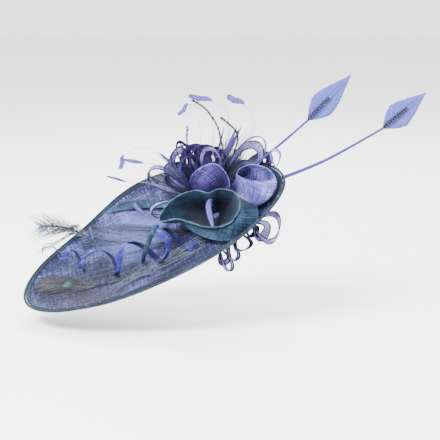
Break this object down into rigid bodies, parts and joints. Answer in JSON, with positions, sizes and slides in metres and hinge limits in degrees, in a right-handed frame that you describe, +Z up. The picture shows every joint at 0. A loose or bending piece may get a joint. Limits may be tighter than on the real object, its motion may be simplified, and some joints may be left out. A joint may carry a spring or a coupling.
{
  "type": "saucer fascinator",
  "caption": "Oval saucer hat of stiffened open weave on a hair comb, worn tilted, trimmed with a rolled horn, petals, ribbon loops, arrow quills, a curled quill and feathers.",
  "frame": {"origin": "where the comb under the saucer meets the head", "axes": "+Z up as worn, +X to the wearer's left, along the saucer's longer reach, -Y to the front"},
  "size_m": [0.6385, 0.2526, 0.3706],
  "materials": {
    "saucer_weave": "sheer stiffened sinamay, violet-blue",
    "teal_weave": "stiffened sinamay, slate teal",
    "rim_binding": "bias binding over wire, dark teal",
    "violet_weave": "stiffened sinamay, violet",
    "sheer_ribbon": "sheer mesh ribbon, pale lavender",
    "dark_ribbon": "mesh ribbon, dark violet",
    "comb_plastic": "moulded, dark",
    "curled_vane": "flat trimmed quill, glossy blue-violet",
    "arrow_vane": "trimmed feather vane, periwinkle",
    "wound_stem": "feather shaft wound with thread",
    "bead": "faceted beads, dark",
    "coque": "small trimmed feathers, lilac",
    "bare_spine": "stripped feather spine, dark",
    "peacock": "peacock herl, grey-green and bronze",
    "plume": "biots and hackle, violet and grey-blue"
  },
  "bodies": {
    "root": {"saucer": "saucer_weave", "rim_wire": "rim_binding", "comb": "comb_plastic", "horn": "teal_weave", "wrap": "teal_weave", "horn_tail": "teal_weave", "side_leaf": "teal_weave", "throat_ribbon": "arrow_vane", "upright_petal": "violet_weave", "cup_petal": "violet_weave", "plume": "plume", "dark_edged_loop": "sheer_ribbon", "horn_side_loop": "sheer_ribbon", "tall_sheer_loop": "sheer_ribbon", "dark_arc_loop": "dark_ribbon", "small_arc_loop": "dark_ribbon", "side_sheer_loop": "sheer_ribbon", "dark_brim_loop": "dark_ribbon", "violet_brim_loop": "dark_ribbon", "drop_loop": "dark_ribbon", "far_sheer_loop": "sheer_ribbon", "curled_quill": "curled_vane", "upper_quill": "wound_stem", "lower_quill": "wound_stem", "upper_arrow": "arrow_vane", "lower_arrow": "arrow_vane", "upper_beads": "bead", "lower_beads": "bead", "long_spine": "bare_spine", "short_spine": "bare_spine", "bare_stem": "bare_spine", "coque_top": "coque", "coque_left_top": "coque", "coque_right": "coque", "coque_upper_left": "coque", "coque_middle_left": "coque", "coque_lower_left": "coque", "eye_feather": "peacock", "grey_feather": "peacock", "dish_feather": "arrow_vane"}
  },
  "joints": []
}
